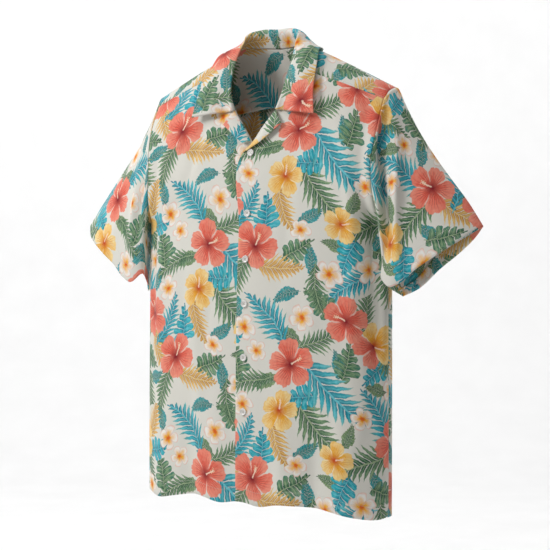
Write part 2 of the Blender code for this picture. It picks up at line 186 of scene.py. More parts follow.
def arc(start, end, sweep, fall=1.0):
    # from a middle line round to a side, over part of a squared ellipse
    angle = np.linspace(0, 1, 240) ** cloth["firstAngles"] * sweep
    power = 2 / cloth["squareness"]
    across = np.sin(angle) ** power
    deep = 1 - np.cos(angle) ** power
    across, deep = across / across[-1], deep / deep[-1]
    start, end = np.asarray(start), np.asarray(end)
    return start + (end - start) * np.stack([across, deep, across**fall], axis=1)


def gridNormals(grid, ring=False):
    if ring:
        wrapped = np.concatenate([grid[:, -1:], grid, grid[:, :1]], axis=1)
        right = (np.roll(wrapped, -1, 1) - np.roll(wrapped, 1, 1))[:, 1:-1]
    else:
        right = np.gradient(grid, axis=1)
    found = np.cross(right, np.gradient(grid, axis=0))
    return found / np.maximum(np.linalg.norm(found, axis=2, keepdims=True), 1e-9)


def fromMiddle(grid):
    # how far each point lies from the middle line, measured on the cloth
    lengths = lengthsOver(grid, 1)
    middle = np.abs(grid[:, :, 0]).argmin(axis=1)[:, None]
    start = np.take_along_axis(grid[:, :, 0], middle, axis=1)
    direction = np.sign(grid[:, -1:, 0] - grid[:, :1, 0])
    return (lengths - np.take_along_axis(lengths, middle, axis=1)) * direction + start


def flatCut(grid):
    # where each point lies on the cut cloth: from the middle line, and up from the hem
    return np.stack([fromMiddle(grid), lengthsOver(grid[:, :, 1:], 0)], axis=2)


def creased(grid, flat, creases, outward, ring=False):
    # creases: across, up, lean in degrees, half length, half width, depth
    push = np.zeros(grid.shape[:2])
    for across, up, lean, long, wide, depth in creases:
        turn = math.radians(lean)
        du, dv = flat[:, :, 0] - across, flat[:, :, 1] - up
        lengthwise = -du * math.sin(turn) + dv * math.cos(turn)
        sideways = du * math.cos(turn) + dv * math.sin(turn)
        bend = 0.35 * wide * np.sin(lengthwise / long * 2.2 + across * 40)
        push += depth * np.exp(-((lengthwise / long) ** 2) - ((sideways - bend) / wide) ** 2)
    push *= ease((flat[-1:, :, 1] - flat[:, :, 1] - cloth["seamFlat"]) / cloth["seamHold"])
    if not ring:
        across = flat[:, :, 0]
        fromSeam = np.minimum(np.abs(across - across[:, :1]), np.abs(across[:, -1:] - across))
        push *= ease((fromSeam - cloth["seamFlat"]) / cloth["seamHold"])
    return grid + gridNormals(grid, ring) * (push * outward)[:, :, None]


def fluted(grid, flutes, dips, outward):
    # flutes: from the middle, depth, half width, top; dips of the hem: from the middle, drop, half width
    place, height = fromMiddle(grid), grid[:, :, 2]
    depth, drop = np.zeros_like(place), np.zeros_like(place)
    for centre, size, halfWidth, top in flutes:
        ramp = ease((top - height) / (top - cloth["hemZ"]))
        depth += size * np.exp(-(((place - centre) / halfWidth) ** 2)) * ramp
    for centre, size, halfWidth in dips:
        ramp = ease((cloth["underarmZ"] - height) / (cloth["underarmZ"] - cloth["hemZ"]))
        drop += size * np.exp(-(((place - centre) / halfWidth) ** 2)) * ramp
    moved = grid + gridNormals(grid) * (depth * outward)[:, :, None]
    moved[:, :, 2] -= drop
    return moved


def bothHalves(half):
    mirrored = half[:, :0:-1].copy()
    mirrored[:, :, 0] *= -1
    return np.concatenate([mirrored, half], axis=1)


def drawnIn(grid, edges):
    # the named edges pulled in, so that two pieces meet without touching
    grid = grid.copy()
    for edge in edges:
        lines = grid if "row" in edge else grid.swapaxes(0, 1)
        outer, inner = (0, 1) if "first" in edge else (-1, -2)
        lines[outer] += unit(lines[inner] - lines[outer]) * cloth["seamGap"]
    return grid


def turned(grid, flat, edge, inward, amount=cloth["seamTurn"]):
    # one edge turned to the inside, as a sewn edge is
    axis = int("column" in edge)
    end, way = (0, -1) if "first" in edge else (-1, 1)
    off = np.array((axis, 1 - axis)) * way * amount
    for share in cloth["turnSteps"]:
        more = np.take(grid, [end], axis) + np.expand_dims(inward, axis) * amount * share
        moreFlat = np.take(flat, [end], axis) + off * share
        grid = np.concatenate([grid, more][::way], axis=axis)
        flat = np.concatenate([flat, moreFlat][::way], axis=axis)
    return grid, flat


def hemmed(grid, flat, rows, outward, ring=False):
    # the hem's allowance, folded up inside behind the first rows
    inside = -gridNormals(grid, ring) * outward
    folded = (grid + inside * cloth["hemGap"])[rows:0:-1]
    bottom = grid[:1] + inside[:1] * cloth["hemGap"] * 0.5 - (0, 0, cloth["hemSag"])
    flatFold = flat[rows:0:-1] * (1, -1) + 2 * flat[:1] * (0, 1)
    grid = np.concatenate([folded, bottom, grid], axis=0)
    flat = np.concatenate([flatFold, flat[:1] - (0, cloth["hemSag"]), flat], axis=0)
    return grid, flat


def meshShell(name, points, faces, flatCorners, shift, wall=cloth["wall"]):
    # a mesh with the flat cut as its print's place, given a wall
    mesh = bpy.data.meshes.new(name)
    mesh.from_pydata(points.tolist(), [], faces.tolist())
    layer = mesh.uv_layers.new(name="cut")
    layer.data.foreach_set("uv", (flatCorners.reshape(-1, 2) + shift).astype(np.float32).ravel())
    mesh.shade_smooth()
    mesh.materials.append(printedCotton)
    made = placed(name, mesh)
    solid = made.modifiers.new("cloth", "SOLIDIFY")
    solid.thickness, solid.offset = wall, 0
    return made


def shell(name, grid, flat, shift, flip=False, ring=False, wall=cloth["wall"]):
    rows, columns = grid.shape[:2]
    index = np.arange(rows * columns).reshape(rows, columns)
    if ring:
        index = np.concatenate([index, index[:, :1]], axis=1)
        flat = np.concatenate([flat, 2 * flat[:, -1:] - flat[:, -2:-1]], axis=1)
    faces, places = cells(index), cells(flat)
    if flip:
        faces, places = faces[:, :, ::-1], places[:, :, ::-1]
    return meshShell(name, grid.reshape(-1, 3), faces.reshape(-1, 4), places, shift, wall)


stitching = {
    "thread": {"pitch": 0.0027, "length": 0.0018, "width": 0.00038}, "height": 0.00012, "roundness": 5,
    "stations": (-0.5, -0.3, 0.3, 0.5), "rise": (-0.6, 0.5, 0.5, -0.6),
    "hem": 0.02, "sleeveHem": 0.024, "yokeEdge": 0.0035, "collarEdge": 0.005, "lapelEdge": 0.005,
    "returnTo": 3.5, "returnSteps": 8,       # at the ends of a collar's or lapel's edge row
}


def stitchRun(points, normals, **changes):
    # small half-round stitches along a line that lies on the cloth
    pitch, length, width = {**stitching["thread"], **changes}.values()
    height, around = stitching["height"], stitching["roundness"]
    lengths = lengthsAlong(points)
    middles = np.arange(pitch / 2, lengths[-1] - pitch / 2, pitch)
    stations = middles[:, None] + np.array(stitching["stations"]) * length
    places = np.stack([np.interp(stations, lengths, points[:, k]) for k in range(3)], axis=-1)
    outs = np.stack([np.interp(stations, lengths, normals[:, k]) for k in range(3)], axis=-1)
    sides = unit(np.cross(outs, places[:, -1:] - places[:, :1]))
    angles = np.linspace(0, math.pi, around)
    rise = np.array(stitching["rise"])[None, :, None, None] * height
    made = places[:, :, None] + sides[:, :, None] * np.cos(angles)[:, None] * width / 2
    made = made + outs[:, :, None] * (np.sin(angles)[:, None] * height + rise + cloth["wall"] / 2)
    each = len(stitching["stations"]) * around
    faces = cells(np.arange(each).reshape(-1, around)).reshape(-1, 4)
    faces = faces + np.arange(len(made))[:, None, None] * each
    return made.reshape(-1, 3), faces.reshape(-1, 4)


def stitches(name, runs):
    # all the stitches of one piece, as one mesh
    starts = np.cumsum([0] + [len(points) for points, _ in runs])
    mesh = bpy.data.meshes.new(name)
    points = np.concatenate([points for points, _ in runs])
    faces = np.concatenate([quads + start for (_, quads), start in zip(runs, starts)])
    mesh.from_pydata(points.tolist(), [], faces.tolist())
    mesh.shade_smooth()
    mesh.materials.append(creamThread)
    return placed(name, mesh)


def rowAt(grid, flat, outward, up, ring=False):
    # the line at one height up the cloth, with its outward directions
    both = np.concatenate([grid, gridNormals(grid, ring) * outward], axis=2)
    line = np.array([[np.interp(up, flat[:, column, 1], both[:, column, k]) for k in range(6)]
                     for column in range(grid.shape[1])])
    if ring:
        line = np.concatenate([line, line[:1]])
    return line[:, :3], line[:, 3:]


class Wire:
    # a socket that can be used in sums
    def __init__(self, tree, socket=None):
        self.tree, self.socket = tree, socket

    def node(self, kind, settings=None, inputs=None, output=0):
        made = self.tree.nodes.new(kind)
        for key, value in (settings or {}).items():
            if key == "stops":
                made.color_ramp.interpolation = "CONSTANT"
                while len(made.color_ramp.elements) < len(value):
                    made.color_ramp.elements.new(0.5)
                for element, (place, colour) in zip(made.color_ramp.elements, value):
                    element.position, element.color = place, (*colour, 1)
            else:
                setattr(made, key, value)
        for key, value in (inputs or {}).items():
            if isinstance(value, Wire):
                self.tree.links.new(value.socket, made.inputs[key])
            elif value is not None:
                made.inputs[key].default_value = value
        return Wire(self.tree, made.outputs[output])

    def maths(self, operation, *values, clamp=False):
        settings = {"operation": operation, "use_clamp": clamp}
        return self.node("ShaderNodeMath", settings, dict(enumerate(values)))

    def __add__(self, other):
        return self.maths("ADD", self, other)

    def __radd__(self, other):
        return self.maths("ADD", other, self)

    def __sub__(self, other):
        return self.maths("SUBTRACT", self, other)

    def __rsub__(self, other):
        return self.maths("SUBTRACT", other, self)

    def __mul__(self, other):
        return self.maths("MULTIPLY", self, other)

    def __rmul__(self, other):
        return self.maths("MULTIPLY", other, self)

    def __truediv__(self, other):
        return self.maths("DIVIDE", self, other)

    def __rtruediv__(self, other):
        return self.maths("DIVIDE", other, self)

    def __pow__(self, other):
        return self.maths("POWER", self, other)

    def __abs__(self):
        return self.maths("ABSOLUTE", self)

    def wave(self):
        return self.maths("SINE", self)

    def within(self, low, high):
        # 0 below low, 1 above high, a straight ramp between; low may be above high
        return self.maths("MULTIPLY_ADD", self, 1 / (high - low), -low / (high - low), clamp=True)

    def vector(self, operation, *values, output=0):
        return self.node("ShaderNodeVectorMath", {"operation": operation}, dict(enumerate(values)), output)

    def mixed(self, first, second):
        # colours or vectors, by this factor
        first = first if isinstance(first, Wire) else (*first, 1)
        second = second if isinstance(second, Wire) else (*second, 1)
        return self.node("ShaderNodeMix", {"data_type": "RGBA"}, {0: self, 6: first, 7: second}, 2)

    def picked(self, first, second):
        return self.node("ShaderNodeMix", {"data_type": "VECTOR"}, {0: self, 4: first, 5: second}, 1)

    def parts(self, count):
        split = self.node("ShaderNodeSeparateXYZ", None, {0: self}).socket.node
        return [Wire(self.tree, split.outputs[k]) for k in range(count)]


printed = {
    "repeat": (0.3, 0.36),
    "kinds": 8,              # at most, in one table of motifs
    "threadPitch": 0.0006,
    "bleed": 0.0055,         # how far the colours run past their lines
    "ground": (0.77, 0.752, 0.682),
    "groundShade": (0.735, 0.715, 0.645),
    "coral": ((0.83, 0.13, 0.08), (0.93, 0.38, 0.27), (0.24, 0.004, 0.012)),
    "amber": ((0.88, 0.44, 0.03), (0.95, 0.79, 0.42), (0.56, 0.06, 0.005)),
    "plumeria": ((0.93, 0.915, 0.87), (0.94, 0.5, 0.03), (0.76, 0.13, 0.012)),
    "turquoise": ((0.012, 0.38, 0.46), (0.003, 0.13, 0.215), (0.18, 0.64, 0.7)),
    "green": ((0.08, 0.215, 0.105), (0.012, 0.06, 0.038), (0.4, 0.52, 0.3)),
    "gold": ((0.76, 0.42, 0.09), (0.44, 0.17, 0.02), (0.88, 0.7, 0.33)),
    "teal": ((0.03, 0.25, 0.24), (0.008, 0.095, 0.105), (0.24, 0.52, 0.45)),
    "olive": ((0.25, 0.34, 0.16), (0.1, 0.18, 0.08), (0.5, 0.52, 0.3)),
}
# Where the motifs stand in one repeat: across, up, turn in degrees, size, kind
blooms = (
    (0.1, 0.246, 25, 0.039, 0), (0.083, 0.175, 75, 0.0335, 1), (0.235, 0.293, -35, 0.0385, 2),
    (0.188, 0.325, 160, 0.037, 0), (0.036, 0.071, 60, 0.0385, 0), (0.278, 0.14, 110, 0.039, 0),
    (0.176, 0.11, 10, 0.031, 1),
)
smallBlooms = (
    (0.16, 0.03, 8, 0.0235, 0), (0.222, 0.048, 40, 0.024, 0), (0.268, 0.222, 20, 0.021, 0),
    (0.02, 0.302, 15, 0.0215, 0), (0.042, 0.27, 60, 0.0185, 0), (0.118, 0.318, 70, 0.023, 0),
    (0.018, 0.182, 35, 0.0215, 0), (0.112, 0.092, 10, 0.0195, 0), (0.216, 0.182, 55, 0.02, 0),
)
palms = (
    (0.168, 0.212, -38, 0.072, 0), (0.262, 0.262, -62, 0.042, 1), (0.078, 0.036, -8, 0.043, 2),
    (0.226, 0.11, 200, 0.056, 1), (0.062, 0.318, 130, 0.054, 0), (0.142, 0.002, -78, 0.04, 1),
    (0.262, 0.012, -70, 0.044, 1), (0.278, 0.33, 70, 0.042, 2), (0.018, 0.13, 60, 0.045, 0),
)
underPalms = (
    (0.148, 0.15, -44, 0.06, 1), (0.082, 0.128, -72, 0.044, 2), (0.145, 0.288, 28, 0.04, 1),
    (0.246, 0.18, 118, 0.056, 0), (0.03, 0.218, 200, 0.042, 1), (0.216, 0.346, 80, 0.044, 1),
    (0.196, 0.02, 215, 0.05, 0), (0.01, 0.02, 250, 0.042, 1), (0.296, 0.086, -60, 0.043, 2),
)
splitLeaves = (
    (0.19, 0.262, 80, 0.031, 1), (0.052, 0.116, 85, 0.033, 0), (0.108, 0.062, 30, 0.029, 1),
    (0.238, 0.252, 215, 0.029, 0), (0.006, 0.25, 100, 0.032, 1), (0.19, 0.064, 250, 0.031, 0),
    (0.146, 0.344, 140, 0.03, 1), (0.296, 0.286, 20, 0.03, 0), (0.116, 0.196, 190, 0.028, 0),
    (0.262, 0.066, -20, 0.029, 1),
)
sprigs = (
    (0.06, 0.222, 190, 0.025, 1), (0.128, 0.116, 30, 0.023, 0), (0.292, 0.196, 60, 0.024, 0),
    (0.004, 0.336, 110, 0.024, 0), (0.096, 0.29, 160, 0.023, 1), (0.196, 0.15, 70, 0.022, 1),
    (0.09, 0.352, 200, 0.024, 0), (0.176, 0.256, 100, 0.022, 0), (0.246, 0.084, -50, 0.022, 0),
    (0.13, 0.048, 95, 0.023, 0), (0.286, 0.04, 20, 0.024, 0), (0.012, 0.1, 150, 0.023, 1),
    (0.238, 0.226, 160, 0.021, 1), (0.166, 0.074, 160, 0.021, 1),
)


def nearest(place, sites):
    # the nearest motif: its own coordinates, of unit size, and its number and kind
    wide, tall = printed["repeat"]
    best = local = facts = None
    for number, (across, up, turn, size, kind) in enumerate(sites):
        offset = place.vector("SUBTRACT", place, (across, up, 0))
        offset = place.vector("WRAP", offset, (wide / 2, tall / 2, 0.5), (-wide / 2, -tall / 2, -0.5))
        reach = place.vector("LENGTH", offset, output=1) * (1 / size)
        fact = (math.radians(turn), 1 / size, kind + number * printed["kinds"])
        if best is None:
            best, local = reach, offset
            facts = place.node("ShaderNodeCombineXYZ", None, dict(enumerate(fact)))
        else:
            nearer = place.maths("LESS_THAN", reach, best)
            best = place.maths("MINIMUM", best, reach)
            local = nearer.picked(local, offset)
            facts = nearer.picked(facts, fact)
    turn, scale, code = facts.parts(3)
    aboutZ = {"rotation_type": "Z_AXIS"}
    local = place.node("ShaderNodeVectorRotate", aboutZ, {"Vector": local, "Angle": turn * -1})
    local = place.node("ShaderNodeVectorMath", {"operation": "SCALE"}, {0: local, "Scale": scale})
    return *local.parts(2), best, code


def kindOf(code):
    return code.maths("MODULO", code, float(printed["kinds"]))


def petals(x, y, code, twist=0.0):
    # for five petals: the petal's number, the place across it from -0.5 to 0.5, and its random number
    turns = (x.maths("ARCTAN2", y, x) + twist) * (5 / (2 * math.pi)) + 0.5
    petal = turns.maths("FLOOR", turns)
    return petal, turns - petal - 0.5, scattered(petal, code)


def scattered(value, seed):
    # an even random number for each whole value
    return value.node("ShaderNodeTexWhiteNoise", {"noise_dimensions": "2D"},
                      {"Vector": value.node("ShaderNodeCombineXYZ", None, {0: value, 1: seed})})


def bloomLayer(under, place, wash, sites):
    x, y, reach, code = nearest(place, sites)
    petal, across, chance = petals(x, y, code)
    kind = kindOf(code)
    twoTone = kind.within(1.0, 2.0)                       # kind 2 has petals of both colours
    kind = kind - twoTone * (petal.maths("LESS_THAN", petal, -0.5) + 1)
    side = abs(across)
    ruffle = (across * 26 + chance * 9).wave() * 0.02 + (across * 57 + chance * 31).wave() * 0.01
    edge = (side * 2) ** 4.2 * -0.36 + 0.9 + chance * 0.13 + ruffle
    share = reach / edge
    shape = (edge - reach).within(0.0, 0.035)
    rays = (across * 46 + chance * 5).wave() * 0.6 + (across * 103 + chance * 17).wave() * 0.4
    veins = rays.within(0.15, 0.95) * share.within(0.12, 0.42) * share.within(1.02, 0.6)
    flares = rays.within(-0.1, 0.9) * reach.within(0.74, 0.16)
    cleft = ((0.5 - side) * reach).within(0.03, 0.01) * reach.within(0.24, 0.45)
    tilt = (across + chance * 0.5 - 0.25).within(-0.5, 0.5)
    body, pale, dark = (kind.mixed(printed["coral"][k], printed["amber"][k]) for k in range(3))
    colour = (share.within(0.35, 1.0) * 0.6 + wash * 0.45 - tilt * 0.4 + 0.08).mixed(body, pale)
    colour = (veins * 0.32 + flares * 0.62).mixed(colour, dark)
    colour = (reach.within(0.42, 0.04) ** 1.4 * 0.98).mixed(colour, dark)
    colour = (cleft * 0.8).mixed(colour, kind.mixed((0.92, 0.68, 0.58), (0.96, 0.84, 0.58)))
    colour = (share.within(0.9, 1.0) * 0.4).mixed(colour, body)
    bend = x * x * 0.35
    stalk = abs(y - bend).within(0.042, 0.018) * x.within(0.02, 0.07) * x.within(0.52, 0.48)
    beads = (x * 75).wave().within(-0.2, 0.4) * abs(abs(y - bend) - 0.05).within(0.034, 0.014)
    beads = beads * x.within(0.28, 0.33) * x.within(0.6, 0.55)
    colour = stalk.mixed(colour, (0.95, 0.68, 0.52))
    colour = (beads * 0.8).mixed(colour, (0.95, 0.76, 0.46))
    return shape.mixed(under, colour)


def plumeriaLayer(under, place, wash, sites):
    x, y, reach, code = nearest(place, sites)
    _, across, chance = petals(x, y, code, reach * 0.4)
    side = abs(across)
    edge = (side * 2) ** 2.9 * -0.48 + 0.9 + chance * 0.12
    shape = (edge - reach).within(0.0, 0.06)
    share = reach / edge
    white, yellow, orange = printed["plumeria"]
    glow = share.within(0.88, 0.2) + (wash - 0.5) * 0.4
    colour = glow.within(0.15, 0.95).mixed(white, yellow)
    streaks = (across * 44 + chance * 6).wave().within(-0.1, 0.9) * reach.within(0.72, 0.12)
    colour = (streaks * 0.5).mixed(colour, orange)
    colour = reach.within(0.26, 0.08).mixed(colour, orange)
    shade = (across + 0.5) * share.within(0.15, 0.7) * 0.26
    colour = shade.mixed(colour, (0.66, 0.52, 0.46))
    line = share.within(0.84, 0.97) * 0.75
    cleft = ((0.5 - side) * reach).within(0.048, 0.014) * reach.within(0.12, 0.3) * 0.6
    colour = line.maths("MAXIMUM", line, cleft).mixed(colour, (0.78, 0.36, 0.22))
    return shape.mixed(under, colour)


def ramped(kind, colours, shade):
    # the colour of each kind, as steps of a colour ramp
    stops = [(number / len(colours), printed[name][shade]) for number, name in enumerate(colours)]
    return kind.node("ShaderNodeValToRGB", {"stops": stops}, {0: (kind + 0.5) * (1 / len(colours))})


def leafLayer(under, place, wash, sites, cut):
    # a leaf on a curved spine, its leaflets or lobes leaning towards the tip
    x, y, reach, code = nearest(place, sites)
    kind = kindOf(code)
    y = y - x * x * cut["bend"] + cut["bend"] * 0.35
    upper = y.maths("GREATER_THAN", y, 0.0)
    out = abs(y)
    start = x - out * cut["lean"] + out * out * cut["curl"]
    step = start * cut["count"] + upper * 0.5
    number = step.maths("FLOOR", step)
    across = step - number - 0.5
    chance = scattered(number + upper * 31, code)
    root = (number - upper * 0.5 + 0.5) * (1 / cut["count"])          # where the leaflet leaves the spine
    length = (root + 1.05).within(0.0, cut["swell"]) ** 0.6 * (1.02 - root).within(0.0, cut["taper"]) ** 0.8
    length = length * cut["reach"] * (1 - cut["uneven"] + chance * cut["uneven"])
    share = out / length.maths("MAXIMUM", length, 0.001)
    width = 0.5 - share.within(cut["cutIn"], 1.0) ** cut["point"] * 0.5
    width = width - share.within(cut["split"], cut["split"] + 0.15) * cut["gap"]
    shape = (width - abs(across + share * share * cut["hook"])).within(0.0, cut["soft"])
    shape = shape * share.within(1.02, 0.97) * (x + 1.02).within(0.0, 0.03) * (1.0 - root).within(0.0, 0.05)
    spine = out.within(0.024, 0.014) * (x + 1.14).within(0.0, 0.03) * (0.97 - x).within(0.0, 0.05)
    body, dark, tip = (ramped(kind, cut["colours"], shade) for shade in range(3))
    far = ramped(kind, cut["ends"], 0)
    colour = (share.within(cut["endFrom"], 1.0) * cut["endShare"] + chance * 0.25 - 0.1).mixed(body, far)
    streak = (across * 13 + chance * 7 + out * 9).wave()
    colour = (wash * 0.6 + streak * 0.22 + chance * 0.3 - 0.2).mixed(colour, tip)
    colour = (abs(across).within(0.2, 0.48) * 0.45 + out.within(0.26, 0.02) * 0.55).mixed(colour, dark)
    rib = abs(across + 0.02).within(0.07, 0.02) * share.within(0.95, 0.5)
    colour = (rib * cut["rib"]).mixed(colour, tip)
    colour = (spine * 0.75).mixed(colour, tip)
    shape = shape.maths("MAXIMUM", shape, spine)
    return shape.mixed(under, colour)


palmCut = {
    "bend": 0.2, "lean": 1.1, "curl": 0.45, "count": 5.3, "swell": 0.36, "taper": 1.3, "reach": 0.62,
    "uneven": 0.24, "cutIn": 0.3, "point": 1.25, "split": -0.1, "gap": 0.03, "hook": 0.12, "soft": 0.08,
    "rib": 0.45, "colours": ("turquoise", "green", "gold"), "ends": ("olive", "green", "gold"),
    "endFrom": 0.55, "endShare": 0.9,
}
splitCut = {
    "bend": 0.1, "lean": 0.5, "curl": 0.3, "count": 2.7, "swell": 0.5, "taper": 1.6, "reach": 0.84,
    "uneven": 0.08, "cutIn": 0.78, "point": 1.8, "split": 0.3, "gap": 0.035, "hook": 0.06, "soft": 0.05,
    "rib": 0.6, "colours": ("turquoise", "green"), "ends": ("turquoise", "teal"),
    "endFrom": 0.4, "endShare": 0.5,
}
sprigCut = {
    "bend": 0.14, "lean": 0.7, "curl": 0.2, "count": 4.5, "swell": 0.8, "taper": 1.7, "reach": 0.6,
    "uneven": 0.0, "cutIn": 0.96, "point": 1.0, "split": 0.5, "gap": -0.2, "hook": 0.0, "soft": 0.1,
    "rib": 0.45, "colours": ("teal", "green"), "ends": ("turquoise", "olive"),
    "endFrom": 0.2, "endShare": 0.8,
}


def wovenBump(cut, slub):
    # plain weave: threads over and under at the cloth's own pitch, a little uneven
    u, v = cut.parts(2)
    threads = 2 * math.pi / printed["threadPitch"]
    weave = (u * threads + slub * 2.5).wave() * (v * threads + slub * 2.5).wave()
    height = weave * 0.35 + slub * 0.65
    return cut.node("ShaderNodeBump", None, {"Strength": 0.25, "Distance": 0.00012, "Height": height})


def newLook(name):
    made = bpy.data.materials.new(name)
    made.use_nodes = True
    return made, Wire(made.node_tree)


def finished(look, inputs):
    # each of the shader's inputs is a plain value, or what varies over the surface
    for name, value in inputs.items():
        socket = look.node_tree.nodes["Principled BSDF"].inputs[name]
        if isinstance(value, Wire):
            look.node_tree.links.new(value.socket, socket)
        else:
            socket.default_value = value
    return look


def noise(place, scale, detail, settings=None, output=0, **more):
    inputs = {"Vector": place, "Scale": scale, "Detail": detail, **more}
    return place.node("ShaderNodeTexNoise", settings, inputs, output)


def printedLook():
    look, wire = newLook("printed cotton")
    onCut, run = {"noise_dimensions": "2D"}, printed["bleed"]
    cut = wire.node("ShaderNodeUVMap", {"uv_map": "cut"})
    flow = noise(cut, 75.0, 3.0, onCut, 1, Roughness=0.6)
    flow = wire.vector("SUBTRACT", flow, (0.5, 0.5, 0.5))
    place = wire.vector("MULTIPLY_ADD", flow, (run, run, 0.0), cut)
    wash = noise(cut, 130.0, 4.0, onCut, Roughness=0.65).within(0.3, 0.7)
    colour = (wash * 0.2).mixed(printed["ground"], printed["groundShade"])
    leaves = (sprigs, sprigCut), (underPalms, palmCut), (splitLeaves, splitCut), (palms, palmCut)
    for sites, shape in leaves:
        colour = leafLayer(colour, place, wash, sites, shape)
    colour = bloomLayer(colour, place, wash, blooms)
    colour = plumeriaLayer(colour, place, wash, smallBlooms)
    slub = noise(cut, 420.0, 2.0, onCut)
    return finished(look, {
        "Base Color": colour, "Roughness": slub * 0.1 + 0.74, "Normal": wovenBump(cut, slub),
        "Specular IOR Level": 0.35, "Sheen Weight": 0.12, "Sheen Roughness": 0.45,
    })


def plainLook(name, colour, roughness):
    look, wire = newLook(name)
    place = wire.node("ShaderNodeTexCoord", None, None, 3)
    shade = tuple(channel * 0.97 for channel in colour)
    tint = noise(place, 9.0, 3.0).within(0.3, 0.7).mixed(colour, shade)
    return finished(look, {"Base Color": tint, "Roughness": roughness})


def threadLook(name, colour):
    look, wire = newLook(name)
    place = wire.node("ShaderNodeTexCoord", None, None, 3)
    twist = wire.node("ShaderNodeTexWave", {"wave_type": "BANDS", "bands_direction": "DIAGONAL"},
                      {"Vector": place, "Scale": 900.0, "Distortion": 1.5})
    fibre = noise(place, 2400.0, 2.0)
    tint = (twist * 0.25 + fibre * 0.2).mixed(colour, tuple(channel * 0.7 for channel in colour))
    bump = wire.node("ShaderNodeBump", None, {"Strength": 0.4, "Distance": 0.00005, "Height": twist})
    return finished(look, {"Base Color": tint, "Normal": bump, "Roughness": 0.6})


def pearlLook():
    look, wire = newLook("pearl shell")
    place = wire.node("ShaderNodeTexCoord", None, None, 3)
    cloud = noise(place, 260.0, 3.0, Distortion=1.6)
    layers = wire.node("ShaderNodeTexWave", {"wave_type": "RINGS", "rings_direction": "SPHERICAL"},
                       {"Vector": place, "Scale": 210.0, "Distortion": 6.0, "Detail": 2.0})
    tint = cloud.within(0.3, 0.7).mixed((0.9, 0.87, 0.81), (0.8, 0.8, 0.79))
    tint = (layers * 0.25).mixed(tint, (0.92, 0.84, 0.8))
    tint = (cloud.within(0.55, 0.75) * 0.25).mixed(tint, (0.74, 0.82, 0.84))
    return finished(look, {
        "Base Color": tint, "Roughness": cloud * 0.14 + 0.16, "Coat Weight": 0.35, "Coat Roughness": 0.12,
    })


printedCotton = printedLook()
creamThread = threadLook("cream thread", (0.66, 0.64, 0.57))
pearlShell = pearlLook()
print("looks made")

fronts = {
    "bodyRows": 64, "armRows": 46, "columns": 72,
    "flutes": (
        (-0.165, 0.004, 0.022, -0.42),
        (-0.105, -0.006, 0.02, -0.45),
        (-0.055, 0.005, 0.018, -0.48),
        (0.072, 0.006, 0.022, -0.42),
        (0.118, -0.007, 0.018, -0.38),
        (0.165, 0.006, 0.02, -0.44),
    ),
    "dips": (
        (-0.17, 0.007, 0.03), (-0.095, -0.004, 0.025), (-0.04, 0.004, 0.018),
        (0.028, 0.006, 0.022), (0.215, 0.019, 0.07),
    ),
    "creases": {
        1: (
            (0.208, 0.4, 2, 0.17, 0.016, -0.018), (0.172, 0.39, 3, 0.15, 0.011, 0.0055),
            (0.128, 0.5, 16, 0.07, 0.012, -0.0022), (0.095, 0.52, -20, 0.055, 0.01, 0.0016),
            (0.066, 0.4, -8, 0.085, 0.012, -0.0016), (0.118, 0.24, 5, 0.12, 0.015, 0.0024),
            (0.086, 0.17, -4, 0.11, 0.013, -0.0024), (0.15, 0.575, 32, 0.04, 0.009, 0.0016),
            (0.146, 0.13, 3, 0.09, 0.011, -0.0018), (0.196, 0.19, -6, 0.11, 0.012, 0.0022),
            (0.058, 0.08, 6, 0.07, 0.01, 0.0014), (0.175, 0.48, -30, 0.035, 0.008, 0.0014),
        ),
        -1: (
            (-0.196, 0.4, -3, 0.12, 0.012, -0.007), (-0.168, 0.36, -1, 0.13, 0.01, 0.0034),
            (-0.118, 0.51, -22, 0.07, 0.011, -0.0024), (-0.092, 0.545, -30, 0.05, 0.009, 0.0018),
            (-0.07, 0.42, 10, 0.08, 0.012, 0.0016), (-0.13, 0.26, -6, 0.11, 0.014, -0.0022),
            (-0.09, 0.18, 3, 0.12, 0.013, 0.0022), (-0.15, 0.56, -35, 0.04, 0.009, 0.0016),
            (-0.152, 0.12, -2, 0.09, 0.011, 0.0018), (-0.196, 0.2, 5, 0.1, 0.012, -0.0018),
            (-0.062, 0.3, -14, 0.06, 0.01, -0.0014),
        ),
    },
}


buttons = {
    "radius": 0.0056, "thickness": 0.0024, "rim": 0.0011, "stand": 0.001,
    "threadHole": 0.0008, "spread": 0.0016,
    "holeLength": 0.0145, "holeWidth": 0.0024, "holeDrop": 0.0008,
    "holeStitch": {"pitch": 0.00045, "length": 0.00042, "width": 0.0009},
    "strandGap": 0.0003, "strandWidth": 0.00034,
}
buttonNodes = [f"button_{number}" for number in range(1, 7)]


def lapped(row, edge):
    # a row carried on past the middle, to lie over or under the other front
    lap = row[:1].copy()
    lap[0, 0] = edge
    return np.concatenate([lap, row])


def frontHalf():
    rows = []
    lap = cloth["lap"]
    for height in np.linspace(cloth["hemZ"], cloth["underarmZ"], fronts["bodyRows"], endpoint=False):
        halfWidth, front, _, side = bodySize(height)
        row = lapped(arc((0, front, height), (halfWidth, side, height), math.pi / 2), -lap)
        rows.append(resampled(row, fronts["columns"]))
    count = fronts["armRows"]
    armhole = along(armholeFront, count)
    inner = along([(-lap, bodySize(cloth["underarmZ"])[1], cloth["underarmZ"]), *frontNeck], count)
    sweeps = np.linspace(math.pi / 2, frontTopSweep, count)
    falls = np.linspace(levelFall, frontTopFall, count)
    for start, end, sweep, fall in zip(inner, armhole, sweeps, falls):
        if start[0] < 0:
            row = lapped(arc((0, start[1], start[2]), end, sweep, fall), start[0])
        else:
            row = arc(start, end, sweep, fall)
        rows.append(resampled(row, fronts["columns"]))
    return np.array(rows)


